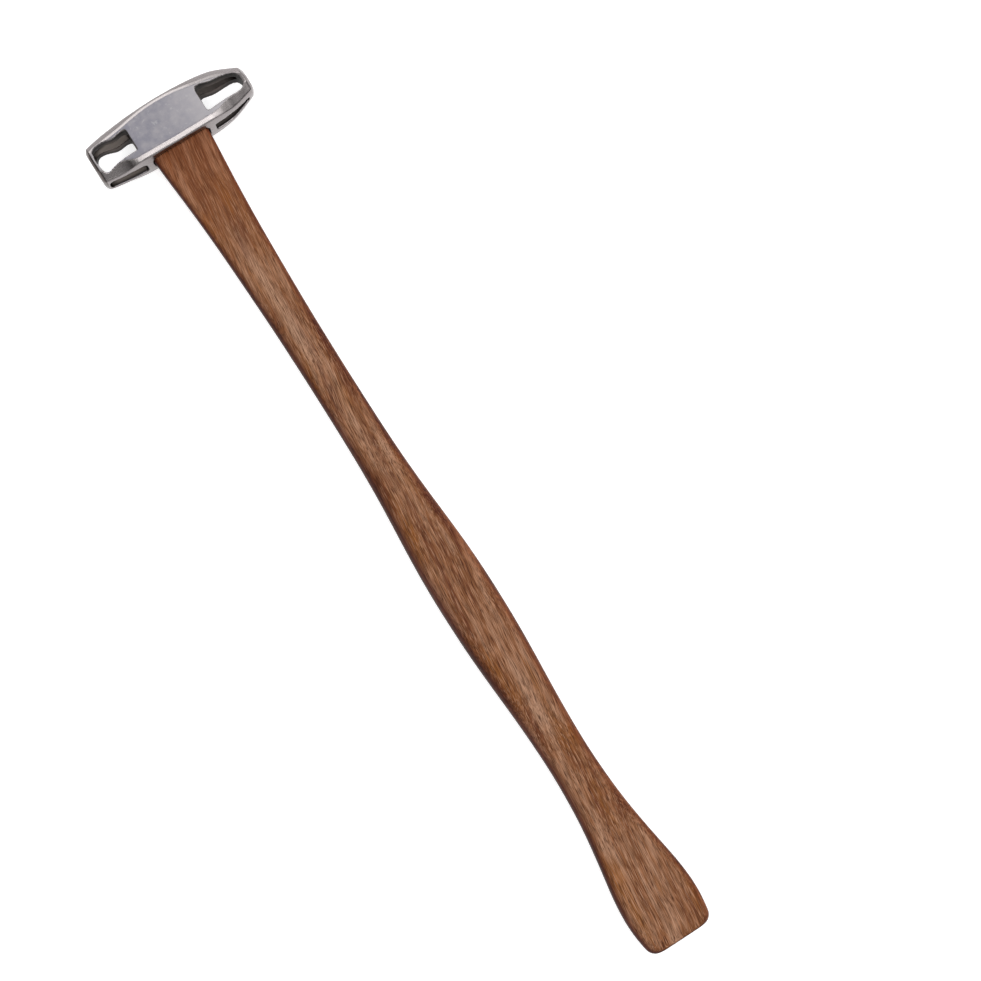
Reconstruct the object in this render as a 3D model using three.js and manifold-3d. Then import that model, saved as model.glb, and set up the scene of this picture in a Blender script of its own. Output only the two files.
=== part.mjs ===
// Auto body hammer with a skeleton head, lying on its side on the lower cheek.
// Millimetres. +Z is up, X runs along the head with the large face at -X, and the handle runs along -Y.
// The origin is on the lower cheek, below the middle of the block that holds the eye.
import * as THREE from 'three';
import { mergeVertices } from 'three/addons/utils/BufferGeometryUtils.js';
import Module from 'manifold-3d';

const wasm = await Module();
wasm.setup();

// Head: overall forms
const headHeight = 18.2; // top to underside at the middle
const headThickness = 14.6; // cheek to cheek
const largeReach = 28.9; // middle of the eye to the large face
const smallReach = 30.9; // middle of the eye to the small face
const headDrop = 0.3; // the head's centre line lies this far below the middle of the windows
const endDroop = 0.4; // further drop of the centre line at each face
const topCrown = 0.4; // rise of the rounded top and underside over their edges
const edgeRound = 0.7; // rounding of the long edges
const bandReach = 1.4; // sloping band along the cheek's edge, measured down the cheek
const bandDrop = 0.5; // the same band, measured through the thickness

// Head: the two ends
const largeFaceHeight = 13.8;
const largeFaceThickness = 11.6;
const largeFacetReach = 2.9; // facet beside the large face, measured down the cheek
const largeFacetDrop = 1.2; // the same facet, measured through the thickness
const smallFaceHeight = 9.4;
const smallFaceThickness = 8.6;
const smallFacetReach = 2.2;
const smallFacetDrop = 1;
const faceBevel = 0.7; // chamfer round each striking face

// Head: windows through both cheeks
const webWall = 2.45; // wall between the eye and each window
const largeWindowRim = 1.9; // wall between the large window and its face
const largeWindowHigh = 4.2;
const largeWindowLow = 5.1;
const smallWindowRim = 2.2;
const smallWindowHigh = 4;
const smallWindowLow = 5.25;
const smallWindowTipHigh = 1.3; // upper corner of the small window's outer end
const smallWindowTipLow = 3.6;

// Head: slots through the top and the underside
const largeSlotWidth = 5.4;
const largeSlotTipWidth = 4;
const largeSlotRim = 2.3; // wall between the large end's slot and its face
const smallSlotWidth = 4.4;
const smallSlotTipWidth = 2;
const smallSlotRim = 3.4;

// Eye
const eyeLength = 21.8; // at the mouth, along the head
const eyeWidth = 8; // at the mouth, through the cheeks
const eyeCorner = 2.4;
const eyeFlare = 0.5; // the eye opens by this much on each side towards the top

// Handle: the runs from one named place to the next, and the size at each place
const neckRun = 93.6; // from the mouth of the eye to the neck
const neckWidth = 13.5;
const neckThickness = 10.6;
const swellRun = 84;
const swellWidth = 19.5;
const swellThickness = 13.8;
const waistRun = 63;
const waistWidth = 14.5;
const waistThickness = 11.4;
const buttRun = 53; // from the waist to the widest place of the butt
const buttWidth = 25.2;
const buttThickness = 11.6;
const endRun = 13.4; // from there to the flat end
const endWidth = 22.4;
const endThickness = 10.8;
const endCorner = 3; // rounding of the two corners of the flat end
const endEdge = 0.8; // rounding of its rim
const handleLean = 1.3; // the flat end stands this far off square

// Wedges in the top of the handle
const tenonSink = 0.25; // the tenon ends this far below the crown of the head
const wedgeTop = 2.2;
const wedgeTip = 0.8;
const wedgeDepth = 10.5;
const crossWedgeLength = 6.2;
const crossWedgeTop = 1.8;
const crossWedgeTip = 0.6;
const crossWedgeDepth = 7.5;

// Clearances and cutting
const fitGap = 0.3; // between a piece and the one that holds it
const cutOverrun = 3; // how far a cutter runs past the surface that it cuts

// How a size of the head goes from its middle, 0, to the face, 1, at shares of the way along.
const largeHeightShares = [[0, 0], [0.45, 0.16], [0.7, 0.35], [0.87, 0.62], [0.95, 0.81], [1, 1]];
const largeThicknessShares = [[0, 0], [0.4, 0], [0.55, 0.2], [0.67, 0.45], [0.84, 0.75], [1, 1]];
const smallHeightShares = [
  [0, 0], [0.42, 0.04], [0.55, 0.08], [0.67, 0.18], [0.76, 0.35], [0.86, 0.6], [1, 1],
];
const smallThicknessShares = [[0, 0], [0.38, 0], [0.5, 0.1], [0.67, 0.33], [0.8, 0.56], [1, 1]];
const facetShares = [[0, 0], [0.42, 0], [0.56, 0.2], [0.7, 0.85], [0.85, 1], [1, 0.9]];

// Outlines of the windows: shares of the way out to the rim, and of the height above or below the middle.
const largeWindowShares = [
  [0, 0.1], [0, 0.72], [0.06, 0.92], [0.16, 1], [0.27, 0.94], [0.36, 0.8], [0.44, 0.8], [0.54, 0.96],
  [0.66, 1], [0.84, 0.98], [0.96, 0.76], [1, 0.4], [1, -0.2], [0.98, -0.68], [0.94, -0.92], [0.85, -1],
  [0.72, -0.93], [0.56, -0.86], [0.3, -0.82], [0.06, -0.8], [0, -0.66],
];
const smallWindowShares = [
  [0, -0.1], [0, -0.72], [0.05, -0.93], [0.1, -1], [0.22, -0.99], [0.54, -1], [0.82, -1], [0.94, -0.88],
  [1, -0.4], [1, 0.1], [0.98, 0.75], [0.9, 1], [0.75, 1], [0.56, 1], [0.36, 0.95], [0.25, 0.93],
  [0.1, 1], [0.03, 0.86], [0, 0.6],
];
const slotTaperShare = 0.5; // share of a slot's length where it starts to narrow

// How the handle's width goes from one named place, 0, to the next, 1.
const neckShares = [[0, 0], [0.12, 0.25], [0.24, 0.46], [0.36, 0.63], [0.56, 0.8], [0.78, 0.95], [1, 1]];
const swellShares = [[0, 0], [0.24, 0.02], [0.42, 0.12], [0.6, 0.4], [0.78, 0.78], [0.9, 0.95], [1, 1]];
const waistShares = [[0, 0], [0.22, 0.06], [0.4, 0.25], [0.55, 0.5], [0.7, 0.75], [0.85, 0.92], [1, 1]];
const buttShares = [[0, 0], [0.18, 0.05], [0.36, 0.17], [0.54, 0.39], [0.72, 0.67], [0.87, 0.92], [1, 1]];
const endShares = [[0, 0], [0.3, 0.08], [0.6, 0.4], [0.8, 0.7], [1, 1]];

// Rounding of the handle's long edges, as a share of half its thickness.
const mouthRoundShare = 0.57;
const neckRoundShare = 0.8;
const swellRoundShare = 0.8;
const waistRoundShare = 0.75;
const buttRoundShare = 0.6;

// Counts
const ringsPerEnd = 16;
const crownSteps = 4;
const edgeSteps = 2;
const stepsPerWindowPoint = 3;
const slotTipSteps = 8;
const ringsPerRun = 8;
const cornerSteps = 5;

const middle = headThickness / 2; // height of the middle of head and handle over the lower cheek
const underside = -headDrop - headHeight / 2; // mouth of the eye
const crownTop = headHeight / 2 - headDrop;
const tenonTop = crownTop - tenonSink;
const webEnd = eyeLength / 2 + webWall; // where windows and slots begin
const handleReach = neckRun + swellRun + waistRun + buttRun + endRun - underside;

const mix = (from, to, share) => from + (to - from) * share;

// A smooth curve through a table of shares, level wherever the table is level.
function shareAt(shares, place) {
  const last = shares.length - 1;
  let i = 0;
  while (i < last - 1 && place > shares[i + 1][0]) i += 1;
  const slopeAfter = (k) => (shares[k + 1][1] - shares[k][1]) / (shares[k + 1][0] - shares[k][0]);
  const slopeAt = (k) => {
    if (k === 0) return slopeAfter(0);
    if (k === last) return slopeAfter(last - 1);
    const before = slopeAfter(k - 1);
    const after = slopeAfter(k);
    return before * after > 0 ? 2 * before * after / (before + after) : 0;
  };
  const span = shares[i + 1][0] - shares[i][0];
  const u = (place - shares[i][0]) / span;
  const rise = u * u * (3 - 2 * u);
  const bend = span * u * (1 - u) * ((1 - u) * slopeAt(i) - u * slopeAt(i + 1));
  return mix(shares[i][1], shares[i + 1][1], rise) + bend;
}

// A closed body from rings of points, each with the same count, going round the same way.
function loft(rings) {
  const count = rings[0].length;
  const points = rings.flat();
  const faces = [];
  for (let r = 0; r < rings.length - 1; r += 1) {
    for (let k = 0; k < count; k += 1) {
      const a = r * count + k;
      const b = r * count + (k + 1) % count;
      faces.push(a, b, a + count, b, b + count, a + count);
    }
  }
  const closeEnd = (ring, first, flip) => {
    const centre = new THREE.Vector3();
    ring.forEach((point) => centre.add(point));
    points.push(centre.divideScalar(count));
    for (let k = 0; k < count; k += 1) {
      const a = first + k;
      const b = first + (k + 1) % count;
      faces.push(points.length - 1, flip ? b : a, flip ? a : b);
    }
  };
  closeEnd(rings[0], 0, true);
  closeEnd(rings[rings.length - 1], (rings.length - 1) * count, false);
  const geometry = new THREE.BufferGeometry().setFromPoints(points);
  geometry.setIndex(faces);
  return geometry;
}

// A solid that can be joined and cut.
function solid(geometry) {
  const bare = geometry.clone();
  bare.deleteAttribute('normal');
  bare.deleteAttribute('uv');
  const merged = mergeVertices(bare);
  return new wasm.Manifold(new wasm.Mesh({
    numProp: 3,
    vertProperties: Float32Array.from(merged.attributes.position.array),
    triVerts: Uint32Array.from(merged.index.array),
  }));
}

// The faces of a solid, for a mesh.
function geometryOf(body) {
  const mesh = body.getMesh();
  const geometry = new THREE.BufferGeometry();
  geometry.setAttribute('position', new THREE.BufferAttribute(mesh.vertProperties, 3));
  geometry.setIndex(new THREE.BufferAttribute(mesh.triVerts, 1));
  geometry.computeVertexNormals();
  return geometry;
}

// The head's section at x: cheek, sloping band or facet, rounded edge and crown, and the same mirrored.
// The inset draws the section in, for the chamfer round a face.
function headRing(x, inset) {
  const large = x < 0;
  const place = Math.abs(x) / (large ? largeReach : smallReach);
  const tall = shareAt(large ? largeHeightShares : smallHeightShares, place);
  const thick = shareAt(large ? largeThicknessShares : smallThicknessShares, place);
  const facet = shareAt(facetShares, place);
  const high = mix(headHeight, large ? largeFaceHeight : smallFaceHeight, tall) / 2 - inset;
  const deep = mix(headThickness, large ? largeFaceThickness : smallFaceThickness, thick) / 2 - inset;
  const reach = mix(bandReach, large ? largeFacetReach : smallFacetReach, facet);
  const drop = mix(bandDrop, large ? largeFacetDrop : smallFacetDrop, facet);
  const centre = -headDrop - endDroop * place * place;
  const edge = high - topCrown - edgeRound; // where the rounding of the long edge begins
  const flat = deep - drop - edgeRound; // where it ends and the crown begins
  const ring = [];
  const add = (up, across) => ring.push(new THREE.Vector3(x, centre + up, middle + across));
  const addRounding = (side, near, k) => {
    const turn = k / edgeSteps * Math.PI / 2;
    add(side * (edge + edgeRound * Math.sin(turn)), near * (flat + edgeRound * Math.cos(turn)));
  };
  for (const side of [1, -1]) {
    add(side * (reach - edge), side * deep);
    add(side * (edge - reach), side * deep);
    for (let k = 0; k < edgeSteps; k += 1) {
      addRounding(side, side, k);
    }
    for (let k = 0; k <= crownSteps; k += 1) {
      const across = 1 - 2 * k / crownSteps;
      add(side * (high - topCrown * across * across), side * across * flat);
    }
    for (let k = edgeSteps - 1; k >= 0; k -= 1) {
      addRounding(side, -side, k);
    }
  }
  return ring;
}

function headBody() {
  const rings = [headRing(smallReach, faceBevel)];
  for (let k = ringsPerEnd; k > 0; k -= 1) {
    rings.push(headRing((smallReach - faceBevel) * k / ringsPerEnd, 0));
  }
  for (let k = 0; k <= ringsPerEnd; k += 1) {
    rings.push(headRing(-(largeReach - faceBevel) * k / ringsPerEnd, 0));
  }
  rings.push(headRing(-largeReach, faceBevel));
  return solid(loft(rings));
}

// A window, run through both cheeks. Its size goes from high and low at the web to the tip's values.
function windowCutter(side, shares, { end, high, low, tipHigh, tipLow }) {
  const corners = shares.map(([along, up]) => {
    const reach = up > 0 ? mix(high, tipHigh, along * along) : mix(low, tipLow, along);
    return new THREE.Vector2(side * mix(webEnd, end, along), up * reach);
  });
  const curve = new THREE.SplineCurve([...corners, corners[0]]);
  const outline = new THREE.Shape(curve.getPoints(corners.length * stepsPerWindowPoint).slice(0, -1));
  const depth = headThickness + 2 * cutOverrun;
  const geometry = new THREE.ExtrudeGeometry(outline, { depth, bevelEnabled: false });
  geometry.translate(0, 0, -cutOverrun);
  return solid(geometry);
}

// A slot along the head, open at the top and at the underside, narrowing to a rounded outer end.
function slotCutter(side, end, width, tipWidth) {
  const tip = tipWidth / 2;
  const taper = mix(webEnd, end, slotTaperShare);
  const outline = new THREE.Shape();
  outline.moveTo(webEnd, -width / 2);
  outline.lineTo(taper, -width / 2);
  outline.lineTo(end - tip, -tip);
  outline.absarc(end - tip, 0, tip, -Math.PI / 2, Math.PI / 2);
  outline.lineTo(taper, width / 2);
  outline.lineTo(webEnd, width / 2);
  const depth = headHeight + 2 * cutOverrun;
  const geometry = new THREE.ExtrudeGeometry(outline, {
    depth,
    bevelEnabled: false,
    curveSegments: slotTipSteps,
  });
  geometry.translate(0, 0, -depth / 2);
  geometry.rotateX(Math.PI / 2);
  if (side < 0) geometry.rotateY(Math.PI);
  geometry.translate(0, 0, middle);
  return solid(geometry);
}

// A ring with rounded corners round the handle's line, at the height y.
function roundedRing(y, lean, halfLength, halfWidth, corner) {
  const ring = [];
  for (let quarter = 0; quarter < 4; quarter += 1) {
    const signX = quarter === 0 || quarter === 3 ? 1 : -1;
    const signZ = quarter < 2 ? 1 : -1;
    for (let k = 0; k <= cornerSteps; k += 1) {
      const turn = (quarter + k / cornerSteps) * Math.PI / 2;
      const x = signX * (halfLength - corner) + corner * Math.cos(turn);
      const z = signZ * (halfWidth - corner) + corner * Math.sin(turn);
      ring.push(new THREE.Vector3(lean + x, y, middle + z));
    }
  }
  return ring;
}

// The eye at the height y, or the tenon in it where inset is the gap between them.
function eyeRing(y, inset) {
  const open = eyeFlare * (y - underside) / headHeight - inset;
  return roundedRing(y, 0, eyeLength / 2 + open, eyeWidth / 2 + open, eyeCorner + open);
}

function makeHead() {
  const largeWindow = {
    end: largeReach - largeWindowRim,
    high: largeWindowHigh,
    low: largeWindowLow,
    tipHigh: largeWindowHigh,
    tipLow: largeWindowLow,
  };
  const smallWindow = {
    end: smallReach - smallWindowRim,
    high: smallWindowHigh,
    low: smallWindowLow,
    tipHigh: smallWindowTipHigh,
    tipLow: smallWindowTipLow,
  };
  return headBody()
    .subtract(windowCutter(-1, largeWindowShares, largeWindow))
    .subtract(windowCutter(1, smallWindowShares, smallWindow))
    .subtract(slotCutter(-1, largeReach - largeSlotRim, largeSlotWidth, largeSlotTipWidth))
    .subtract(slotCutter(1, smallReach - smallSlotRim, smallSlotWidth, smallSlotTipWidth))
    .subtract(solid(loft([eyeRing(crownTop + cutOverrun, 0), eyeRing(underside - cutOverrun, 0)])));
}

// The mouth of the eye, where the handle starts, and then each run with the sizes at its lower end.
const mouth = {
  width: eyeLength - 2 * fitGap,
  thickness: eyeWidth - 2 * fitGap,
  round: mouthRoundShare,
};
const handleRuns = [
  {
    run: neckRun,
    shares: neckShares,
    width: neckWidth,
    thickness: neckThickness,
    round: neckRoundShare,
  },
  {
    run: swellRun,
    shares: swellShares,
    width: swellWidth,
    thickness: swellThickness,
    round: swellRoundShare,
  },
  {
    run: waistRun,
    shares: waistShares,
    width: waistWidth,
    thickness: waistThickness,
    round: waistRoundShare,
  },
  {
    run: buttRun,
    shares: buttShares,
    width: buttWidth,
    thickness: buttThickness,
    round: buttRoundShare,
  },
  {
    run: endRun,
    shares: endShares,
    width: endWidth,
    thickness: endThickness,
    round: buttRoundShare,
  },
];

// One ring of the handle, a share of the way down the run that starts at the place called from.
function handleRing(from, to, start, share) {
  const down = start + to.run * share;
  const left = handleReach - down; // what is left to the flat end
  const soft = share * share * (3 - 2 * share);
  const trim = (radius) => (left < radius ? radius - Math.sqrt(radius ** 2 - (radius - left) ** 2) : 0);
  const halfLength = mix(from.width, to.width, shareAt(to.shares, share)) / 2 - trim(endCorner);
  const halfWidth = mix(from.thickness, to.thickness, soft) / 2 - trim(endEdge);
  const corner = halfWidth * mix(from.round, to.round, soft);
  return roundedRing(-down, -handleLean * down / handleReach, halfLength, halfWidth, corner);
}

function handleBody() {
  const rings = [eyeRing(tenonTop, fitGap)];
  const lastRun = handleRuns[handleRuns.length - 1];
  const cornerShare = 1 - endCorner / endRun; // where the rounding of the flat end begins
  let from = mouth;
  let start = -underside;
  for (const to of handleRuns) {
    const stopShare = to === lastRun ? cornerShare : 1;
    for (let k = 0; k < ringsPerRun; k += 1) {
      rings.push(handleRing(from, to, start, stopShare * k / ringsPerRun));
    }
    from = to === lastRun ? from : to;
    start += to === lastRun ? 0 : to.run;
  }
  for (let k = 0; k <= cornerSteps; k += 1) {
    const turned = Math.sin(k / cornerSteps * Math.PI / 2);
    rings.push(handleRing(from, lastRun, start, mix(cornerShare, 1, turned)));
  }
  return solid(loft(rings));
}

// A wedge that stands in the top of the handle, thickest at the top. Gap and overrun make it a cutter.
function wedge(length, top, tip, depth, gap, overrun) {
  const widen = (top - tip) / depth * overrun / 2;
  const outline = new THREE.Shape();
  outline.moveTo(-top / 2 - gap - widen, overrun);
  outline.lineTo(-tip / 2 - gap, -depth - gap);
  outline.lineTo(tip / 2 + gap, -depth - gap);
  outline.lineTo(top / 2 + gap + widen, overrun);
  const geometry = new THREE.ExtrudeGeometry(outline, { depth: length, bevelEnabled: false });
  return geometry.translate(0, 0, -length / 2);
}

// The wooden wedge lies along the eye.
function longWedge(length, gap, overrun) {
  const geometry = wedge(length, wedgeTop, wedgeTip, wedgeDepth, gap, overrun);
  geometry.rotateY(Math.PI / 2);
  return solid(geometry.translate(0, tenonTop, middle));
}

// The steel wedge lies across it.
function crossWedge(gap, overrun) {
  const length = crossWedgeLength + 2 * gap;
  const geometry = wedge(length, crossWedgeTop, crossWedgeTip, crossWedgeDepth, gap, overrun);
  return solid(geometry.translate(0, tenonTop, middle));
}

const wedgeLength = eyeLength - 2 * fitGap;
const kerf = longWedge(wedgeLength + 2 * cutOverrun, fitGap, cutOverrun);
const crossSlot = crossWedge(fitGap, cutOverrun);

const pieces = [
  {
    name: 'head',
    body: makeHead(),
    finish: { color: 0xb4b6bd, roughness: 0.28, metalness: 1 },
  },
  {
    name: 'handle',
    body: handleBody().subtract(kerf).subtract(crossSlot),
    finish: { color: 0x7a4a34, roughness: 0.55, metalness: 0 },
  },
  {
    name: 'eye_wedge',
    body: longWedge(wedgeLength, 0, 0).subtract(crossSlot),
    finish: { color: 0xb08a5e, roughness: 0.6, metalness: 0 },
  },
  {
    name: 'cross_wedge',
    body: crossWedge(0, 0),
    finish: { color: 0x8d8f92, roughness: 0.4, metalness: 1 },
  },
];

const hammer = new THREE.Group();
for (const { name, body, finish } of pieces) {
  const mesh = new THREE.Mesh(geometryOf(body), new THREE.MeshStandardMaterial(finish));
  mesh.name = name;
  hammer.add(mesh);
}

export default hammer;
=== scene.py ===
import math

import bmesh
import bpy
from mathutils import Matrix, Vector
from mathutils.bvhtree import BVHTree


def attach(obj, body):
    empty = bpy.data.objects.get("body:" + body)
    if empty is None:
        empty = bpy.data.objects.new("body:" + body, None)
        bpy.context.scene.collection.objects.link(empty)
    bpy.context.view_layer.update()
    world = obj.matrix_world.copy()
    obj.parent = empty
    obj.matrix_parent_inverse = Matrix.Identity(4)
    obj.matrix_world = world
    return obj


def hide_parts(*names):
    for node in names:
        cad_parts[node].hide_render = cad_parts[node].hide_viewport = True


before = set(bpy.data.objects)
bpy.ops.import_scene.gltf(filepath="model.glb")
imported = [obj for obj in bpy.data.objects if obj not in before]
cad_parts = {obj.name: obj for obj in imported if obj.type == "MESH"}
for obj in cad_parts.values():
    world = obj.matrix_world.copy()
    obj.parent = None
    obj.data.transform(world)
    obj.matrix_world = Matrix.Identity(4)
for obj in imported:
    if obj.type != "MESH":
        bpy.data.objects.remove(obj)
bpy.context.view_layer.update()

# Auto body hammer lying on its side. Sizes in the dictionaries are millimetres, the scene is metres.
# X runs along the head, the handle runs down -Y, Z is up through the cheeks.
mm = 0.001
middle = 7.3  # height of the middle of head and handle over the floor

# Camera at the photograph's view
cameraView = {
    "place": (-30.7029, -249.9865, 656.5974),
    "target": (23.918, -164.2201, 14.6),
    "lens": 73.7318, "sensor": 36, "nearest": 10,
}


def makeCamera(view):
    place = Vector(view["place"]) * mm
    direction = Vector(view["target"]) * mm - place
    data = bpy.data.cameras.new("photoCamera")
    data.lens = view["lens"]
    data.sensor_width = view["sensor"]
    data.clip_start = view["nearest"] * mm
    camera = bpy.data.objects.new("photoCamera", data)
    camera.location = place
    camera.rotation_euler = direction.to_track_quat("-Z", "Y").to_euler()
    bpy.context.collection.objects.link(camera)
    bpy.context.scene.camera = camera


makeCamera(cameraView)
print("camera placed")


# Helpers for modelling in edit mode
def mix(start, end, share):
    return start + (end - start) * share


# A smooth curve through a table of shares, level wherever the table is level
def shareAt(shares, place):
    last = len(shares) - 1
    i = 0
    while i < last - 1 and place > shares[i + 1][0]:
        i += 1

    def slopeAfter(k):
        return (shares[k + 1][1] - shares[k][1]) / (shares[k + 1][0] - shares[k][0])

    def slopeAt(k):
        if k == 0:
            return slopeAfter(0)
        if k == last:
            return slopeAfter(last - 1)
        before, after = slopeAfter(k - 1), slopeAfter(k)
        return 2 * before * after / (before + after) if before * after > 0 else 0

    span = shares[i + 1][0] - shares[i][0]
    u = (place - shares[i][0]) / span
    rise = u * u * (3 - 2 * u)
    bend = span * u * (1 - u) * ((1 - u) * slopeAt(i) - u * slopeAt(i + 1))
    return mix(shares[i][1], shares[i + 1][1], rise) + bend


def clearSelection():
    bpy.ops.object.select_all(action="DESELECT")


# A block at its size and place, opened in edit mode with everything selected
def startBlock(name, low, high):
    clearSelection()
    low, high = Vector(low) * mm, Vector(high) * mm
    bpy.ops.mesh.primitive_cube_add(size=1, location=(low + high) / 2, scale=high - low)
    bpy.ops.object.transform_apply(location=True, rotation=True, scale=True)
    block = bpy.context.object
    block.name = name
    bpy.ops.object.mode_set(mode="EDIT")
    bpy.ops.mesh.select_mode(type="VERT")
    return block


# Selects vertices by their place, in millimetres
def pick(piece, test):
    bpy.ops.mesh.select_all(action="DESELECT")
    mesh = bmesh.from_edit_mesh(piece.data)
    for vertex in mesh.verts:
        if test(vertex.co / mm):
            vertex.select = True
    mesh.select_flush(True)
    bmesh.update_edit_mesh(piece.data)


# Selects edges by their middle and direction
def pickEdges(piece, test):
    bpy.ops.mesh.select_mode(type="EDGE")
    bpy.ops.mesh.select_all(action="DESELECT")
    mesh = bmesh.from_edit_mesh(piece.data)
    for edge in mesh.edges:
        start, end = edge.verts[0].co / mm, edge.verts[1].co / mm
        if test((start + end) / 2, (end - start).normalized()):
            edge.select_set(True)
    bmesh.update_edit_mesh(piece.data)


def endEdit():
    bpy.ops.object.mode_set(mode="OBJECT")


def near(a, b, gap=0.02):
    return abs(a - b) < gap


def applyModifier(piece, kind, **settings):
    bpy.context.view_layer.objects.active = piece
    modifier = piece.modifiers.new(kind.title(), kind)
    for name, value in settings.items():
        setattr(modifier, name, value)
    bpy.ops.object.modifier_apply(modifier=modifier.name)


def cutWith(piece, cutter):
    applyModifier(piece, "BOOLEAN", operation="DIFFERENCE", solver="EXACT", object=cutter)
    bpy.data.objects.remove(cutter, do_unlink=True)


# Head
head = {
    "height": 18.2, "thickness": 14.6, "largeReach": 28.9, "smallReach": 30.9,
    "drop": 0.3, "endDroop": 0.4, "crown": 0.4, "edgeRound": 0.7,
    "largeFace": (13.8, 11.6), "smallFace": (9.4, 8.6),
    "rim": [(0, 1.1), (0.3, 0.72), (0.7, 0.28)],  # in from the face, and how much smaller there
    "rimDepth": 1.05, "stationsPerEnd": 24,
    "blockCorner": 2.2, "ridge": 2.5,  # the plain block's long edges, and the crown's lines off its middle
    "skinSize": 0.25, "polish": 4,  # face size of the even skin, and how often it is smoothed
    "largeHeight": [(0, 0), (0.45, 0.16), (0.7, 0.35), (0.87, 0.62), (0.95, 0.81), (1, 1)],
    "largeThickness": [(0, 0), (0.4, 0), (0.55, 0.2), (0.67, 0.45), (0.84, 0.75), (1, 1)],
    "smallHeight": [(0, 0), (0.42, 0.04), (0.55, 0.08), (0.67, 0.18), (0.76, 0.35), (0.86, 0.6), (1, 1)],
    "smallThickness": [(0, 0), (0.38, 0), (0.5, 0.1), (0.67, 0.33), (0.8, 0.56), (1, 1)],
    # Lower edges: a band that grows into the facets below the windows
    "band": (1.4, 0.5), "largeFacet": (3.3, 1.75), "smallFacet": (3.0, 1.25),
    "largeFacetShares": [(0, 0), (0.52, 0), (0.58, 0.2), (0.66, 0.75), (0.76, 1), (1, 0.92)],
    "smallFacetShares": [(0, 0), (0.44, 0), (0.54, 0.2), (0.65, 0.7), (0.76, 1), (0.88, 0.9), (1, 0.5)],
    # Upper edges: a narrow bevel beside the cheek, and a steeper one that widens towards both ends
    "innerBevel": (1.15, 0.42), "outerBevel": (0.7, 0.45), "outerBend": (0.4, 0.44),
    "largeOuter": (2.0, 1.3), "smallOuter": (2.3, 1.5),
    "outerShares": [(0, 0), (0.15, 0.06), (0.35, 0.5), (0.5, 0.9), (0.6, 1), (0.85, 1), (1, 0.7)],
}
windows = {
    "webEnd": 13.35, "curveSteps": 5, "halfDepth": 11,
    "large": [
        (-13.35, 0.4), (-13.35, 3.4), (-13.5, 3.75), (-14.0, 3.95), (-15.0, 4.05), (-16.6, 3.85),
        (-18.1, 3.62), (-19.4, 3.72), (-21.2, 4.22), (-23.5, 4.65), (-25.0, 4.6), (-26.1, 4.1),
        (-26.8, 3.2), (-27.0, 1.7), (-27.0, -1.0), (-26.75, -3.5), (-26.2, -4.7), (-25.0, -5.1),
        (-23.2, -4.75), (-21.0, -4.4), (-17.5, -4.2), (-13.9, -4.2), (-13.42, -4.16), (-13.35, -4.0),
    ],
    "small": [
        (13.35, -0.5), (13.35, -4.5), (13.55, -4.95), (14.6, -5.08), (16.7, -4.84), (21.6, -4.36),
        (25.9, -3.9), (27.8, -3.2), (28.6, -1.4), (28.6, 0.2), (28.3, 1.4), (27.4, 2.4), (25.5, 3.05),
        (23.0, 3.3), (21.0, 3.38), (18.5, 3.6), (16.2, 4.2), (15.0, 4.4), (14.0, 4.1), (13.5, 3.3),
        (13.35, 2.2),
    ],
}
slots = {  # reach, width at the web and at the tip, corners at the tip and at the web
    "large": (27.3, 6.3, 5.9, 1.8, 1.5), "small": (28.0, 5.5, 2.1, 0.9, 0.7),
    "taperShare": 0.45, "topShare": 0.7, "halfHeight": 13,
}
eye = {"length": 21.8, "width": 8.0, "corner": 2.4, "flare": 0.5, "mouth": -9.4, "top": 8.8, "over": 3}
cornerSteps = 5


# The lines of the head's section at a station, on its upper (1) or lower (-1) side:
# (height from the centre line, depth from the middle)
def headSection(x, inset, side):
    end = "large" if x < 0 else "small"
    place = abs(x) / head[end + "Reach"]
    tall, thick = shareAt(head[end + "Height"], place), shareAt(head[end + "Thickness"], place)
    high = mix(head["height"], head[end + "Face"][0], tall) / 2 - inset
    deep = mix(head["thickness"], head[end + "Face"][1], thick) / 2 - inset
    edge = high - head["crown"]
    if side > 0:
        grown = shareAt(head["outerShares"], place)
        outerReach = mix(head["outerBevel"][0], head[end + "Outer"][0], grown)
        outerDrop = mix(head["outerBevel"][1], head[end + "Outer"][1], grown)
        innerReach, innerDrop = head["innerBevel"]
        bendReach, bendDrop = head["outerBend"]
        flat = deep - innerDrop - outerDrop
        lines = [
            (edge - outerReach - innerReach, deep), (edge - outerReach, deep - innerDrop),
            (edge - outerReach * bendReach, flat + outerDrop * bendDrop), (edge, flat),
        ]
    else:
        facet, soft = shareAt(head[end + "FacetShares"], place), head["edgeRound"]
        reach = mix(head["band"][0], head[end + "Facet"][0], facet)
        flat = deep - mix(head["band"][1], head[end + "Facet"][1], facet) - soft
        turned = soft * math.sqrt(0.5)
        edge -= soft
        lines = [
            (edge - reach, deep), (edge, flat + soft), (edge + turned, flat + turned), (edge + soft, flat),
        ]
    return lines + [(high - head["crown"] / 4, flat / 2), (high, 0)]


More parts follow.
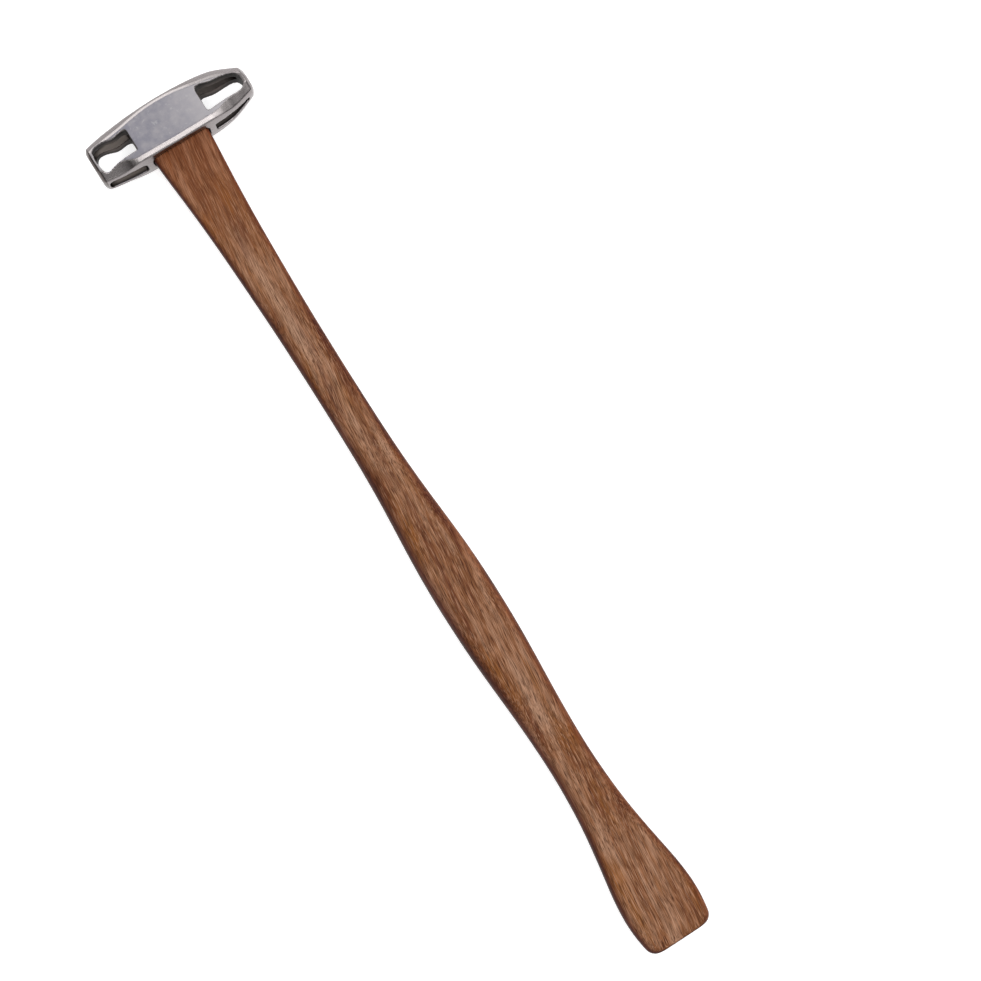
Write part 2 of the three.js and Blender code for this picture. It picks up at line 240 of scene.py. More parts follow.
def makeHeadBlock():
    halfHeight, halfDepth, centre = head["height"] / 2, head["thickness"] / 2, -head["drop"]
    piece = startBlock(
        "hammerHead",
        (-head["largeReach"], centre - halfHeight, 0),
        (head["smallReach"], centre + halfHeight, head["thickness"]),
    )
    # The long edges become a band and a rounding, and the crown gets its ridge lines.
    corner, ridge = head["blockCorner"], head["ridge"]
    pickEdges(piece, lambda place, way: abs(way.x) > 0.9)
    bpy.ops.mesh.bevel(offset=corner * mm, segments=3, affect="EDGES")
    for height in (middle - ridge, middle, middle + ridge):
        bpy.ops.mesh.select_all(action="SELECT")
        bpy.ops.mesh.bisect(plane_co=(0, 0, height * mm), plane_no=(0, 0, 1))
    stations = []
    for k in range(-head["stationsPerEnd"], head["stationsPerEnd"] + 1):
        reach = head["largeReach"] if k < 0 else head["smallReach"]
        stations.append(((reach - head["rimDepth"]) * k / head["stationsPerEnd"], 0))
    for depth, inset in head["rim"]:
        stations += [(depth - head["largeReach"], inset), (head["smallReach"] - depth, inset)]
    # Every station is a cut right round the block, its lines drawn in or out to the section there.
    oldLines = []
    for turn in (0, 30, 60, 90):
        rise, run = math.sin(math.radians(turn)), math.cos(math.radians(turn))
        oldLines.append((halfHeight - corner + corner * rise, halfDepth - corner + corner * run))
    oldLines += [(halfHeight, ridge), (halfHeight, 0)]
    for x, inset in stations:
        bpy.ops.mesh.select_all(action="SELECT")
        bpy.ops.mesh.bisect(plane_co=(x * mm, 0, 0), plane_no=(1, 0, 0))
    bpy.ops.mesh.select_mode(type="VERT")
    for x, inset in stations:
        for side in (1, -1):
            for (oldUp, oldAcross), (newUp, newAcross) in zip(oldLines, headSection(x, inset, side)):
                pick(piece, lambda v: near(v.x, x) and near((v.y - centre) * side, oldUp)
                     and near(abs(v.z - middle), oldAcross))
                bpy.ops.transform.resize(
                    value=(1, newUp / oldUp, newAcross / oldAcross if oldAcross else 1),
                    center_override=(x * mm, centre * mm, middle * mm),
                )
        # The ends droop a little.
        pick(piece, lambda v: near(v.x, x))
        reach = head["largeReach"] if x < 0 else head["smallReach"]
        bpy.ops.transform.translate(value=(0, -head["endDroop"] * (x / reach) ** 2 * mm, 0))
    endEdit()
    return piece


# A window's outline drawn as a curve and run through both cheeks
def windowCutter(outline):
    clearSelection()
    bpy.ops.curve.primitive_bezier_circle_add(radius=mm)
    cutter = bpy.context.object
    curve = cutter.data
    curve.dimensions = "2D"
    curve.fill_mode = "BOTH"
    curve.extrude = windows["halfDepth"] * mm
    curve.resolution_u = windows["curveSteps"]
    spline = curve.splines[0]
    spline.bezier_points.add(len(outline) - len(spline.bezier_points))
    for point, (x, y) in zip(spline.bezier_points, outline):
        point.co = Vector((x, y, 0)) * mm
        point.handle_left_type = "AUTO"
        point.handle_right_type = "AUTO"
    cutter.location.z = middle * mm
    bpy.ops.object.convert(target="MESH")
    bpy.ops.object.transform_apply(location=True, rotation=True, scale=True)
    bpy.ops.object.mode_set(mode="EDIT")
    bpy.ops.mesh.select_all(action="SELECT")
    bpy.ops.mesh.remove_doubles(threshold=0.01 * mm)
    bpy.ops.mesh.normals_make_consistent(inside=False)
    endEdit()
    return bpy.context.object


# A slot from the underside to the top, a little narrower there, with rounded corners
def slotCutter(side, sizes):
    end, width, tipWidth, tipCorner, webCorner = sizes
    start, tall = windows["webEnd"], slots["halfHeight"]
    low, high = min(side * start, side * end), max(side * start, side * end)
    cutter = startBlock("slotCutter", (low, -tall, middle - width / 2), (high, tall, middle + width / 2))
    taper = side * mix(start, end, slots["taperShare"])
    bpy.ops.mesh.bisect(plane_co=(taper * mm, 0, 0), plane_no=(1, 0, 0))
    pick(cutter, lambda v: near(v.x, side * end))
    bpy.ops.transform.resize(
        value=(1, 1, tipWidth / width), center_override=(side * end * mm, 0, middle * mm)
    )
    for x, corner in ((end, tipCorner), (start, webCorner)):
        pickEdges(cutter, lambda place, way: near(place.x, side * x) and abs(way.y) > 0.9)
        bpy.ops.mesh.bevel(offset=corner * mm, segments=cornerSteps, affect="EDGES")
    bpy.ops.mesh.select_mode(type="VERT")
    pick(cutter, lambda v: near(v.y, tall))
    bpy.ops.transform.resize(value=(1, 1, slots["topShare"]), center_override=(0, 0, middle * mm))
    endEdit()
    return cutter


# The eye, open a little wider at the top
def eyeCutter():
    halfLength, halfWidth = eye["length"] / 2, eye["width"] / 2
    low, high = eye["mouth"] - eye["over"], eye["top"] + eye["over"]
    cutter = startBlock(
        "eyeCutter", (-halfLength, low, middle - halfWidth), (halfLength, high, middle + halfWidth)
    )
    for y in (low, high):
        grow = eye["flare"] * (y - eye["mouth"]) / head["height"]
        pick(cutter, lambda v: near(v.y, y))
        bpy.ops.transform.resize(
            value=(1 + grow / halfLength, 1, 1 + grow / halfWidth),
            center_override=(0, y * mm, middle * mm),
        )
    pickEdges(cutter, lambda place, way: abs(way.y) > 0.9)
    bpy.ops.mesh.bevel(offset=eye["corner"] * mm, segments=cornerSteps, affect="EDGES")
    endEdit()
    return cutter


# How far each point lies inside the uncut block, in millimetres, kept on the mesh for the material
def markDepth(piece, block):
    mesh = bmesh.new()
    mesh.from_mesh(block)
    tree = BVHTree.FromBMesh(mesh)
    mesh.free()
    depths = [tree.find_nearest(vertex.co)[3] / mm for vertex in piece.data.vertices]
    piece.data.attributes.new("wallDepth", "FLOAT", "POINT").data.foreach_set("value", depths)


def makeHead():
    piece = makeHeadBlock()
    block = piece.data.copy()
    cutWith(piece, windowCutter(windows["large"]))
    cutWith(piece, windowCutter(windows["small"]))
    cutWith(piece, slotCutter(-1, slots["large"]))
    cutWith(piece, slotCutter(1, slots["small"]))
    cutWith(piece, eyeCutter())
    # An even skin, smoothed as hand polishing does, so that every edge is softly broken
    applyModifier(piece, "REMESH", mode="VOXEL", voxel_size=head["skinSize"] * mm)
    applyModifier(piece, "SMOOTH", factor=0.5, iterations=head["polish"])
    markDepth(piece, block)
    bpy.data.meshes.remove(block)
    clearSelection()
    piece.select_set(True)
    bpy.ops.object.shade_smooth()
    return piece


hammerHead = makeHead()
print("head", len(hammerHead.data.polygons), "faces")

# Handle: the size at the mouth of the eye and at the lower end of each run
handle = {
    "tenonTop": 8.55, "tenon": (22.2, 8.4), "tenonCorner": 2.3, "reach": 316.4, "lean": 1.3,
    "mouthSize": (21.5, 7.7, 0.58),  # width, thickness, rounding as a share of half the thickness
    "runs": [
        (93.6, (13.5, 10.6, 0.8), [(0, 0), (0.12, 0.25), (0.24, 0.46), (0.36, 0.63), (0.56, 0.8),
                                   (0.78, 0.95), (1, 1)]),
        (84.0, (19.5, 13.8, 0.8), [(0, 0), (0.24, 0.02), (0.42, 0.12), (0.6, 0.4), (0.78, 0.78),
                                   (0.9, 0.95), (1, 1)]),
        (63.0, (14.5, 11.4, 0.75), [(0, 0), (0.22, 0.06), (0.4, 0.25), (0.55, 0.5), (0.7, 0.75),
                                    (0.85, 0.92), (1, 1)]),
        (53.0, (25.2, 11.6, 0.6), [(0, 0), (0.18, 0.05), (0.36, 0.17), (0.54, 0.39), (0.72, 0.67),
                                   (0.87, 0.92), (1, 1)]),
        (13.4, (22.4, 10.8, 0.6), [(0, 0), (0.3, 0.08), (0.6, 0.4), (0.8, 0.7), (1, 1)]),
    ],
    "ringsPerRun": 8, "endCorner": 3.0, "endEdge": 0.8, "cornerRings": 6, "capInset": 0.5,
}


# One ring of the handle: a plane across it, brought to size, with rounded corners and no face
def addRing(down, width, thickness, corner):
    place = Vector((-handle["lean"] * max(down, 0) / handle["reach"], -down, middle)) * mm
    bpy.ops.mesh.primitive_plane_add(size=mm, location=place, rotation=(math.pi / 2, 0, 0))
    bpy.ops.transform.resize(value=(width, 1, thickness), center_override=place)
    bpy.ops.mesh.bevel(offset=corner * mm, segments=cornerSteps, affect="VERTICES", clamp_overlap=False)
    bpy.ops.mesh.delete(type="ONLY_FACE")


def runRing(start, size, run, share):
    length, (endWidth, endThickness, endRound), shares = run
    down = start + length * share
    left = handle["reach"] - down
    soft = share * share * (3 - 2 * share)

    def trim(radius):
        return radius - math.sqrt(radius ** 2 - (radius - left) ** 2) if left < radius else 0

    width = mix(size[0], endWidth, shareAt(shares, share)) - 2 * trim(handle["endCorner"])
    thickness = mix(size[1], endThickness, soft) - 2 * trim(handle["endEdge"])
    addRing(down, width, thickness, thickness / 2 * mix(size[2], endRound, soft))


def makeHandle():
    clearSelection()
    bpy.ops.mesh.primitive_plane_add(size=mm)
    piece = bpy.context.object
    piece.name = "hammerHandle"
    bpy.ops.object.mode_set(mode="EDIT")
    bpy.ops.mesh.select_mode(type="VERT")
    bpy.ops.mesh.select_all(action="SELECT")
    bpy.ops.mesh.delete(type="VERT")  # the object starts empty, and the rings go into it
    addRing(-handle["tenonTop"], *handle["tenon"], handle["tenonCorner"])
    start, size = -eye["mouth"], handle["mouthSize"]
    for run in handle["runs"]:
        last = run is handle["runs"][-1]
        cornerShare = 1 - handle["endCorner"] / run[0] if last else 1
        for k in range(handle["ringsPerRun"]):
            runRing(start, size, run, cornerShare * k / handle["ringsPerRun"])
        if last:
            for k in range(handle["cornerRings"] + 1):
                turned = math.sin(k / handle["cornerRings"] * math.pi / 2)
                runRing(start, size, run, mix(cornerShare, 1, turned))
        start, size = start + run[0], run[1]
    bpy.ops.mesh.select_all(action="SELECT")
    bpy.ops.mesh.bridge_edge_loops()
    for y in (handle["tenonTop"], -handle["reach"]):
        pick(piece, lambda v: near(v.y, y))
        bpy.ops.mesh.edge_face_add()
        bpy.ops.mesh.inset(thickness=handle["capInset"] * mm)
    bpy.ops.mesh.select_all(action="SELECT")
    bpy.ops.mesh.normals_make_consistent(inside=False)
    endEdit()
    applyModifier(piece, "SUBSURF", levels=2, render_levels=2)
    return piece


# Wedges in the top of the handle
smoothBelow = 35  # degrees between faces
wedges = {
    "long": (21.2, 10.5, 2.2, 0.8),  # length, depth, thickness at the top and at the tip
    "cross": (6.2, 7.5, 1.8, 0.6),
    "gap": 0.33,  # room on each side in its kerf
    "over": 3,  # how far the cutters stand over the top
    "brokenEdge": 0.12,
    # The hammered top of the cross wedge: depth, growth in width and length, edge and rise of its dome
    "spreadDepth": 0.5, "spread": (1.1, 1, 1.03), "domeEdge": 0.3, "domeRise": 0.03,
}


# A block that thins towards its tip. It lies along X, or along Z if it crosses.
def startWedge(name, sizes, crosses, gap, over):
    length, depth, top, tip = sizes
    long = length / 2 + (gap if crosses else 0) + (0 if crosses else over)
    wide = top / 2 + gap + (top - tip) / depth * over / 2
    halfX, halfZ = (wide, long) if crosses else (long, wide)
    low, high = handle["tenonTop"] - depth - gap, handle["tenonTop"] + over
    piece = startBlock(name, (-halfX, low, middle - halfZ), (halfX, high, middle + halfZ))
    pick(piece, lambda v: near(v.y, low))
    thin = (tip / 2 + gap) / wide
    bpy.ops.transform.resize(
        value=(thin, 1, 1) if crosses else (1, 1, thin), center_override=(0, low * mm, middle * mm)
    )
    return piece


def wedgeCutter(kind):
    cutter = startWedge("wedgeCutter", wedges[kind], kind == "cross", wedges["gap"], wedges["over"])
    endEdit()
    return cutter


def makeEyeWedge():
    piece = startWedge("eyeWedge", wedges["long"], False, 0, 0)
    bpy.ops.mesh.select_all(action="SELECT")
    bpy.ops.mesh.bevel(offset=wedges["brokenEdge"] * mm, segments=2, affect="EDGES")
    endEdit()
    cutWith(piece, wedgeCutter("cross"))
    return piece


def makeCrossWedge():
    piece = startWedge("crossWedge", wedges["cross"], True, 0, 0)
    top = handle["tenonTop"]
    # The hammered top spreads a little.
    bpy.ops.mesh.select_all(action="SELECT")
    bpy.ops.mesh.bisect(plane_co=(0, (top - wedges["spreadDepth"]) * mm, 0), plane_no=(0, 1, 0))
    pick(piece, lambda v: near(v.y, top))
    bpy.ops.transform.resize(value=wedges["spread"], center_override=(0, top * mm, middle * mm))
    bpy.ops.mesh.inset(thickness=wedges["domeEdge"] * mm)
    bpy.ops.transform.translate(value=(0, wedges["domeRise"] * mm, 0))
    bpy.ops.mesh.select_all(action="SELECT")
    bpy.ops.mesh.bevel(offset=wedges["brokenEdge"] * mm, segments=2, affect="EDGES")
    endEdit()
    return piece


hammerHandle = makeHandle()
cutWith(hammerHandle, wedgeCutter("long"))
cutWith(hammerHandle, wedgeCutter("cross"))
print("handle", len(hammerHandle.data.polygons), "faces")
eyeWedge = makeEyeWedge()
crossWedge = makeCrossWedge()
print("wedges made")

for piece in (hammerHandle, eyeWedge, crossWedge):
    clearSelection()
    piece.select_set(True)
    bpy.context.view_layer.objects.active = piece
    bpy.ops.object.shade_smooth_by_angle(angle=math.radians(smoothBelow))


# Materials
def linear(hexColour):
    channels = [int(hexColour[i:i + 2], 16) / 255 for i in (1, 3, 5)]
    return [c / 12.92 if c <= 0.04045 else ((c + 0.055) / 1.055) ** 2.4 for c in channels] + [1]


# Adds a node with its settings and links, and gives one of its outputs back. Settings are the node's own or
# its sockets', by name or number. The stops of a colour ramp are a place and a hex colour or a grey.
def addNode(tree, kind, settings=None, links=None, out=0):
    node = tree.nodes.new("ShaderNode" + kind)
    sockets = {}
    for name, value in (settings or {}).items():
        if name == "stops":
            marks = node.color_ramp.elements
            while len(marks) < len(value):
                marks.new(0.5)
            for mark, (place, colour) in zip(marks, value):
                mark.position = place
                mark.color = linear(colour) if isinstance(colour, str) else (colour, colour, colour, 1)
        elif isinstance(name, str) and hasattr(node, name):
            setattr(node, name, value)
        else:
            sockets[name] = value
    for name, value in sockets.items():
        node.inputs[name].default_value = value
    for name, source in (links or {}).items():
        tree.links.new(source, node.inputs[name])
    return node.outputs[out] if node.outputs else None


def startMaterial(name):
    material = bpy.data.materials.new(name)
    material.use_nodes = True
    material.node_tree.nodes.clear()
    return material, material.node_tree


def finishMaterial(tree, settings, links=None):
    surface = addNode(tree, "BsdfPrincipled", settings, links)
    addNode(tree, "OutputMaterial", links={"Surface": surface})


# What finishes are placed by: the place in millimetres, x and y in it, the reach from the middle along X,
# and the way that the skin faces, endways and up or down
def addSources(tree):
    place = addNode(tree, "TexCoord", out="Object")
    facing = addNode(tree, "TexCoord", out="Normal")
    sources = {"place": addNode(tree, "VectorMath", {"operation": "SCALE", "Scale": 1 / mm}, {0: place})}
    for name, vector, axis in (
        ("x", sources["place"], "X"), ("y", sources["place"], "Y"),
        ("endways", facing, "X"), ("upwards", facing, "Z"),
    ):
        sources[name] = addNode(tree, "SeparateXYZ", links={0: vector}, out=axis)
    for name, signed in (("reach", "x"), ("level", "upwards")):
        sources[name] = addNode(tree, "Math", {"operation": "ABSOLUTE"}, {0: sources[signed]})
    return sources


# Where a finish lies, from its limits: what each is measured by, where it starts, where it is full, and how
# full. The finish lies where all the limits let it.
def addMask(tree, sources, limits):
    mask = None
    for source, start, end, most in limits:
        settings = {"From Min": start, "From Max": end, "To Max": most}
        part = addNode(tree, "MapRange", settings, {"Value": sources[source]})
        if mask is not None:
            part = addNode(tree, "Math", {"operation": "MULTIPLY"}, {0: mask, 1: part})
        mask = part
    return mask


steel = {
    # Some of these colours paint light and shade: the brightest grey is painted light and highlight, the
    # edge grey a painted highlight, the side grey and the rim grey painted shade, the near-black painted
    # shade in the openings, the scale grey real forge scale darkened with painted shade, and the slot wall
    # grey painted light.
    "bright": "#e6e1e4", "side": "#8b8585", "edge": "#c9c2c1", "scuff": "#e4e2e4", "rim": "#57504e",
    "grime": "#1f1b19", "scale": "#5c524d", "slotWall": "#a39a94",
    "cheek": [(0.35, "#b0aeba"), (0.68, "#c9c5cb")],
    "cheekRoughness": 0.34, "sideRoughness": 0.27, "scaleRoughness": 0.6,
    "patches": {"From Min": 0.3, "From Max": 0.7, "To Min": -0.03, "To Max": 0.03},
    "clouds": (2.6, 6, 0), "scuffs": (1.6, 3, 1.5),  # size, detail and distortion
    # Real grinding marks are too fine to see. These are as wide as they need to be to show.
    "markLength": 6.0, "markWidth": 0.35, "markDetail": 4, "markHeight": 0.03,
    "sideMarks": 0.0, "cheekMarks": 0.25,  # how strong the marks are: the polished slopes have none
    "masks": {
        # The cheek is brighter beside the small window, with painted light from that side.
        "polished": [("x", -1, 17, 0.85), ("x", 31, 19, 1)],
        "scuffed": [("scuffs", 0.6, 0.72, 0.45)],
        # The thin frame at the large face gets a painted highlight, and the one at the small face the darker
        # painted shade of the steep sides.
        "largeFrame": [("x", -25.8, -26.8, 1)],
        "smallFrame": [("x", 24.5, 28.5, 1)],
        # The narrow sloping edges get a painted highlight, and the steeper sides a darker painted shade.
        "flat": [("level", 0.955, 0.98, 1)],
        "sloping": [("level", 0.86, 0.93, 1)],
        # A thin line on the rim of the large face is darkened, a painted dark reflection.
        "tarnished": [("endways", -0.28, -0.45, 1), ("endways", -0.97, -0.85, 1)],
        # Painted shade darkens the openings just inside every edge and in the corners of the windows. The
        # slot walls face up and down, and the wide slot's walls get more painted light than the narrow
        # one's.
        "inside": [("depth", 0.3, 0.65, 1)],
        "windowCleaned": [("depth", 0.9, 3.2, 1), ("reach", 13.2, 17.5, 1), ("reach", 27.0, 21.5, 1)],
        "slotCleaned": [("x", 42, -8, 1), ("reach", 27.5, 24.0, 1), ("depth", 0.5, 1.6, 1)],
        "inSlot": [("level", 0.5, 0.9, 1)],
    },
    "layers": [  # what each makes, what lies under and over, and where it lies over
        ("satin", "satin", "bright", "polished"),
        ("satin", "satin", "scuff", "scuffed"),
        ("satin", "satin", "bright", "largeFrame"),
        ("satin", "satin", "side", "smallFrame"),
        ("slope", "side", "edge", "sloping"),
        ("skin", "slope", "satin", "flat"),
        ("skin", "skin", "rim", "tarnished"),
        ("windowWall", "grime", "scale", "windowCleaned"),
        ("cleanSlot", "grime", "slotWall", "slotCleaned"),
        ("wall", "windowWall", "cleanSlot", "inSlot"),
        ("whole", "skin", "wall", "inside"),
    ],
}


# Forged tool steel, ground and polished by hand. The satin cheeks take a soft grey from above, the rounded
# edges and sides are glossier, the edges with a painted highlight and the steep sides with painted shade,
# and brown-grey forge scale darkened with painted shade is left in the openings.
def makeSteel():
    material, tree = startMaterial("polishedToolSteel")
    sources = addSources(tree)
    for pattern in ("clouds", "scuffs"):
        size, detail, bend = steel[pattern]
        settings = {"Scale": 1 / size, "Detail": detail, "Distortion": bend}
        sources[pattern] = addNode(tree, "TexNoise", settings, {"Vector": sources["place"]})
    sources["depth"] = addNode(tree, "Attribute", {"attribute_name": "wallDepth"}, out="Fac")
    masks = {name: addMask(tree, sources, limits) for name, limits in steel["masks"].items()}
    made = {"satin": addNode(tree, "ValToRGB", {"stops": steel["cheek"]}, {"Fac": sources["clouds"]})}
    for name, under, over, where in steel["layers"]:
        settings, links = {"data_type": "RGBA"}, {"Factor": masks[where]}
        for socket, finish in ((6, under), (7, over)):
            if finish in made:
                links[socket] = made[finish]
            else:
                settings[socket] = linear(steel[finish])
        made[name] = addNode(tree, "Mix", settings, links, 2)
    # Grinding marks run along the head, and the polish is a little patchy with them.
    long, wide = 1 / steel["markLength"], 1 / steel["markWidth"]
    stretched = addNode(tree, "Mapping", {"Scale": (long, wide, wide)}, {"Vector": sources["place"]})
    marks = addNode(tree, "TexNoise", {"Scale": 1, "Detail": steel["markDetail"]}, {"Vector": stretched})
    settings = {2: steel["sideRoughness"], 3: steel["cheekRoughness"]}
    polish = addNode(tree, "Mix", settings, {"Factor": masks["flat"]})
    dull = addNode(tree, "Mix", {3: steel["scaleRoughness"]}, {"Factor": masks["inside"], 2: polish})
    patchy = addNode(tree, "MapRange", steel["patches"], {"Value": marks})
    rough = addNode(tree, "Math", {"operation": "ADD"}, {0: dull, 1: patchy})
    settings = {2: steel["sideMarks"], 3: steel["cheekMarks"]}
    strength = addNode(tree, "Mix", settings, {"Factor": masks["flat"]})
    settings = {"Distance": steel["markHeight"] * mm}
    bump = addNode(tree, "Bump", settings, {"Height": marks, "Strength": strength})
    finishMaterial(tree, {"Metallic": 1}, {"Base Color": made["whole"], "Roughness": rough, "Normal": bump})
    return material


mildSteel = {
    "colours": [(0.4, "#6d6a68"), (0.6, "#8d8f92")], "roughness": 0.45,
    "dentSize": 0.714, "dentDetail": 2, "dentDepth": 0.1, "dentStrength": 0.4,
}


# Mild steel wedge, hammered: a dull grey with shallow dents, brighter where they are raised
def makeMildSteel():
    material, tree = startMaterial("dullMildSteel")
    place = addNode(tree, "TexCoord", out="Object")
    settings = {"Scale": 1 / (mildSteel["dentSize"] * mm), "Detail": mildSteel["dentDetail"]}
    dents = addNode(tree, "TexNoise", settings, {"Vector": place})
    colour = addNode(tree, "ValToRGB", {"stops": mildSteel["colours"]}, {"Fac": dents})
    settings = {"Strength": mildSteel["dentStrength"], "Distance": mildSteel["dentDepth"] * mm}
    bump = addNode(tree, "Bump", settings, {"Height": dents})
    settings = {"Metallic": 1, "Roughness": mildSteel["roughness"]}
    finishMaterial(tree, settings, {"Base Color": colour, "Normal": bump})
    return material


# Real fibres and pores are too fine to see. These are as wide as they need to be to show. A pattern has its
# size across and along the grain, its detail and its shift.
wood = {
    "warm": "#975d2e", "pale": "#cda78d", "filled": "#c5987a", "pore": "#3c1d10", "dirt": "#925f3e",
    "rim": "#b08c52", "mouth": "#e0cbbf", "roughness": 0.5, "sheen": 0.08, "grainTurn": -7,
    "patterns": {
        "bands": ((3.8, 55), 3, 0), "patches": ((6, 30), 1, 5), "fibres": ((0.22, 7.0), 3, 7),
        "filled": ((0.22, 6.0), 1, 11), "pores": ((0.2, 4.4), 1, 17),
    },
    "measures": {"down": [("wavyY", -250, -40, 1)]},  # the stretch that the streak's stops divide
    "ramps": {
        "tone": ("bands", [(0.34, "#683521"), (0.5, "#925f3e"), (0.66, "#b98c6f")]),
        "shade": ("fibres", [(0.3, "#8c8c8c"), (0.5, "#dadada"), (0.7, "#ffffff")]),
        # A pale streak runs down the crown of the neck, and shows again below the swell: partly paler grain,
        # partly a painted highlight along the rounded top.
        "streak": ("down", [
            (0.03, 0), (0.07, 0.25), (0.13, 0.2), (0.18, 0), (0.42, 0), (0.55, 0.16), (0.7, 0.12),
            (0.78, 0.4), (0.9, 0.48), (1.0, 0),
        ]),
        # The flanks are darkened with painted shade: red-brown on the side facing -X, away from the light,
        # and a lighter orange-brown on the other.
        "flank": ("endways", [(0.0, "#966c62"), (0.6, "#d6a880")]),
    },
    "layers": [  # how each is laid on, its colour and where
        ("MIX", "warm", [("patches", 0.54, 0.7, 0.8)]),
        ("MIX", "pale", [("wavyX", -4.0, -1.8, 1), ("wavyX", 2.2, -0.2, 1), ("streak", 0, 1, 1)]),
        ("MULTIPLY", "shade", []),
        ("MIX", "filled", [("filled", 0.52, 0.68, 0.5)]),
        ("MIX", "pore", [("pores", 0.53, 0.68, 0.8)]),
        # Near the head, oil and dirt have filled the grain.
        ("MIX", "dirt", [("wavyY", -80, -35, 0.24)]),
        ("MULTIPLY", "flank", [("level", 0.985, 0.6, 1)]),
        # The middle of each flank, where the skin faces sideways, is darkened with painted shade, and the
        # wood is darker towards the mouth of the eye.
        ("MULTIPLY", "rim", [("level", 0.36, 0.08, 1)]),
        ("MULTIPLY", "mouth", [("y", -45, -8, 1)]),
    ],
}
wedgeWood = {
    "warm": "#a57f4b", "filled": "#cfb48b", "pore": "#6b4c2c",
    "roughness": 0.6, "sheen": 0.3, "grainTurn": 0,
    "patterns": {
        "bands": ((1.0, 30), 3, 0), "patches": ((6, 30), 1, 5), "fibres": ((0.25, 6), 3, 7),
        "filled": ((0.25, 3), 1, 11), "pores": ((0.2, 2), 1, 17),
    },
    "measures": {},
    "ramps": {
        "tone": ("bands", [(0.34, "#8a6a45"), (0.5, "#a98759"), (0.66, "#c3a377")]),
        "shade": ("fibres", [(0.3, "#8c8c8c"), (0.5, "#dadada"), (0.7, "#ffffff")]),
    },
    "layers": [
        ("MIX", "warm", [("patches", 0.54, 0.7, 0.8)]),
        ("MULTIPLY", "shade", []),
        ("MIX", "filled", [("filled", 0.52, 0.68, 0.3)]),
        ("MIX", "pore", [("pores", 0.53, 0.68, 0.5)]),
    ],
}
grain = {
    "wanderLength": 35.714, "wander": 3.5, "grit": 0.6, "reliefStrength": 0.35, "relief": 0.06,
    "smoother": 0.06, "rougher": 0.08,
}


# Open-pored hardwood, sanded and rubbed with oil. Its figure is long wavy bands, with fine fibres over them,
# and the pores are short dashes, some open and dark and some filled and pale.
def makeWood(name, look):
    material, tree = startMaterial(name)
    sources = addSources(tree)
    # The fibres wander a little from side to side.
    settings = {"Scale": 1 / grain["wanderLength"], "Detail": 1}
    wander = addNode(tree, "TexNoise", settings, {"Vector": sources["place"]}, "Color")
    centred = addNode(tree, "VectorMath", {"operation": "SUBTRACT", 1: (0.5, 0.5, 0.5)}, {0: wander})
    most = (grain["wander"], 0, grain["wander"])
    drift = addNode(tree, "VectorMath", {"operation": "MULTIPLY", 1: most}, {0: centred})
    wavy = addNode(tree, "VectorMath", {"operation": "ADD"}, {0: sources["place"], 1: drift})
    for axis in "XY":
        sources["wavy" + axis] = addNode(tree, "SeparateXYZ", links={0: wavy}, out=axis)
    for pattern, ((width, length), detail, shift) in look["patterns"].items():
        settings = {
            "vector_type": "TEXTURE", "Location": (shift, shift, shift), "Scale": (width, length, width),
            "Rotation": (0, 0, math.radians(look["grainTurn"])),
        }
        turned = addNode(tree, "Mapping", settings, {"Vector": wavy})
        settings = {"Scale": 1, "Detail": detail, "Roughness": grain["grit"]}
        sources[pattern] = addNode(tree, "TexNoise", settings, {"Vector": turned})
    for measure, limits in look["measures"].items():
        sources[measure] = addMask(tree, sources, limits)
    for ramp, (source, stops) in look["ramps"].items():
        sources[ramp] = addNode(tree, "ValToRGB", {"stops": stops}, {"Fac": sources[source]})
    tone, masks = sources["tone"], {}
    for way, colour, limits in look["layers"]:
        settings, links = {"data_type": "RGBA", "blend_type": way, "Factor": 1}, {6: tone}
        if limits:
            masks[colour] = links["Factor"] = addMask(tree, sources, limits)
        if colour in look["ramps"]:
            links[7] = sources[colour]
        else:
            settings[7] = linear(look[colour])
        tone = addNode(tree, "Mix", settings, links, 2)
    # Fibres stand up and take more polish, and open pores are pits.
    settings = {
        "From Min": 0.3, "From Max": 0.7,
        "To Min": look["roughness"] + grain["rougher"], "To Max": look["roughness"] - grain["smoother"],
    }
    rough = addNode(tree, "MapRange", settings, {"Value": sources["fibres"]})
    links = {0: sources["fibres"], 1: masks["pore"]}
    height = addNode(tree, "Math", {"operation": "SUBTRACT"}, links)
    settings = {"Strength": grain["reliefStrength"], "Distance": grain["relief"] * mm}
    bump = addNode(tree, "Bump", settings, {"Height": height})
    settings = {"IOR": 1.5, "Specular IOR Level": look["sheen"]}
    finishMaterial(tree, settings, {"Base Color": tone, "Roughness": rough, "Normal": bump})
    return material


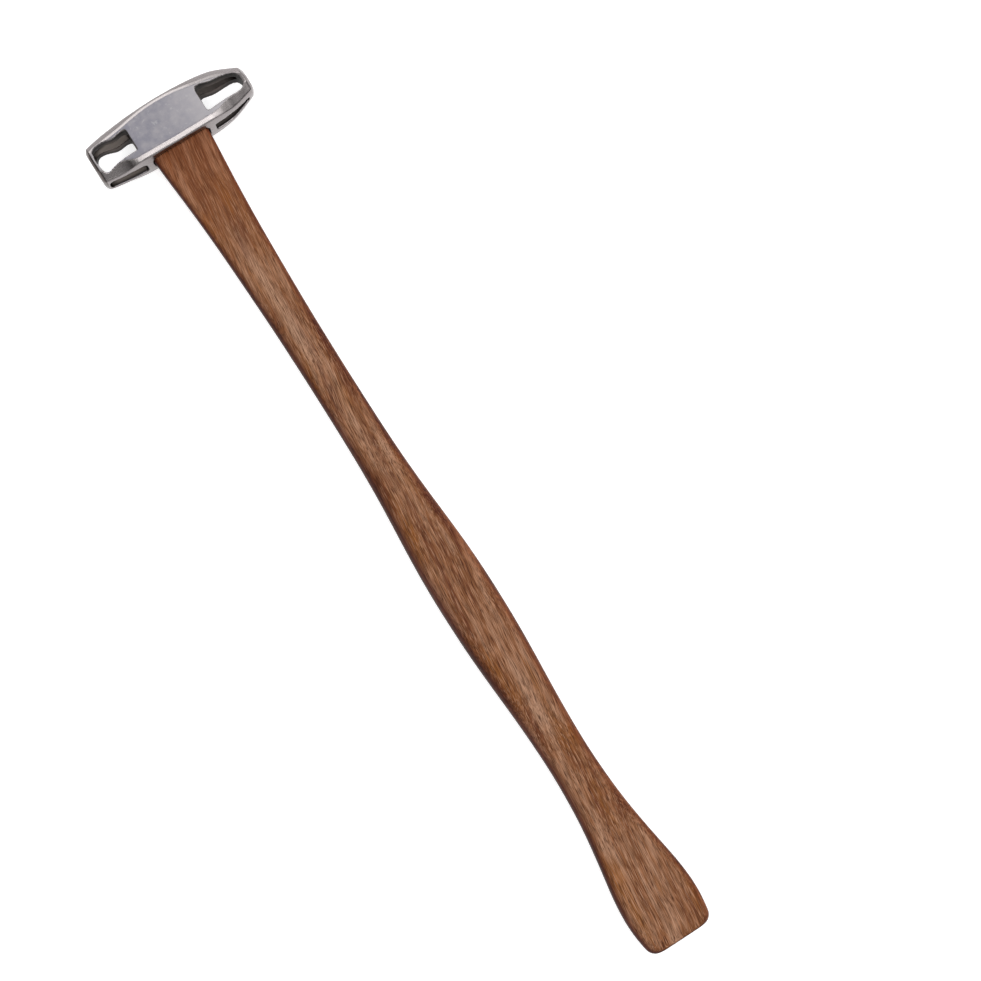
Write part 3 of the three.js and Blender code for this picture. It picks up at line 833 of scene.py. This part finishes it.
# Floor and light
studio = {
    "floor": "#d9d9d9", "floorSize": 30, "floorRoughness": 0.8, "floorGlow": 0.65, "worldStrength": 0.25,
    "aim": (0, -0.05, 0),
    "softboxes": {  # place in metres, size, brightness, shows in reflections
        "softboxTop": ((0.1, -0.1, 1.3), (1.2, 1.2), 2.4, False),
        "softboxOverhead": ((0.12, 0.42, 1.1), (0.9, 0.5), 0.5, True),
        "softboxNear": ((0.0, -0.36, 1.08), (0.7, 0.24), 1.75, True),
        "softboxFront": ((0.0, -1.1, 0.62), (1.4, 0.95), 0.55, True),
        "softboxNearRight": ((0.4, -0.5, 0.95), (0.5, 0.5), 1.1, True),
        "softboxFar": ((-0.1, 1.05, 0.6), (0.8, 0.4), 1.35, True),
        "softboxHorizon": ((0.0, 1.2, 0.17), (1.6, 0.3), 0.95, True),
        "softboxFarRight": ((0.6, 0.95, 0.4), (0.6, 0.6), 0.7, True),
        "softboxRight": ((1.1, 0.2, 0.8), (0.5, 1.2), 1.25, True),
        "softboxLeft": ((-1.1, -0.1, 0.8), (0.4, 1.0), 0.5, True),
    },
}


def makeFloor():
    clearSelection()
    bpy.ops.mesh.primitive_plane_add(size=studio["floorSize"], location=(0, 0, 0))
    floor = bpy.context.object
    floor.name = "floor"
    # It glows a little, so that it is as pale as paper under the softboxes.
    material, tree = startMaterial("paleFloor")
    finishMaterial(tree, {
        "Base Color": linear(studio["floor"]), "Roughness": studio["floorRoughness"],
        "Emission Color": (1, 1, 1, 1), "Emission Strength": studio["floorGlow"],
    })
    floor.data.materials.append(material)


def addSoftbox(name, place, size, brightness, reflects):
    data = bpy.data.lights.new(name, "AREA")
    data.shape = "RECTANGLE"
    data.size, data.size_y = size
    data.energy = brightness * math.pi * size[0] * size[1]
    light = bpy.data.objects.new(name, data)
    light.location = place
    way = Vector(studio["aim"]) - Vector(place)
    light.rotation_euler = way.to_track_quat("-Z", "Y").to_euler()
    light.visible_glossy = reflects
    bpy.context.collection.objects.link(light)


def makeStudio():
    makeFloor()
    world = bpy.data.worlds.new("studio")
    world.use_nodes = True
    background = world.node_tree.nodes["Background"]
    background.inputs["Color"].default_value = (1, 1, 1, 1)
    background.inputs["Strength"].default_value = studio["worldStrength"]
    bpy.context.scene.world = world
    for name, (place, size, brightness, reflects) in studio["softboxes"].items():
        addSoftbox(name, place, size, brightness, reflects)
    bpy.context.scene.view_settings.view_transform = "Standard"


finishes = {
    hammerHead: ("head", "head_steel", makeSteel()),
    hammerHandle: ("handle", "handle_wood", makeWood("oiledReddishHardwood", wood)),
    eyeWedge: ("eye_wedge", "wedge_wood", makeWood("sawnPaleHardwood", wedgeWood)),
    crossWedge: ("cross_wedge", "wedge_steel", makeMildSteel()),
}
for piece, (node, slot, material) in finishes.items():
    piece.data.materials.clear()
    piece.data.materials.append(material)
    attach(piece, "root")
    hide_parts(node)
print("materials set")
makeStudio()
print("floor and light set")
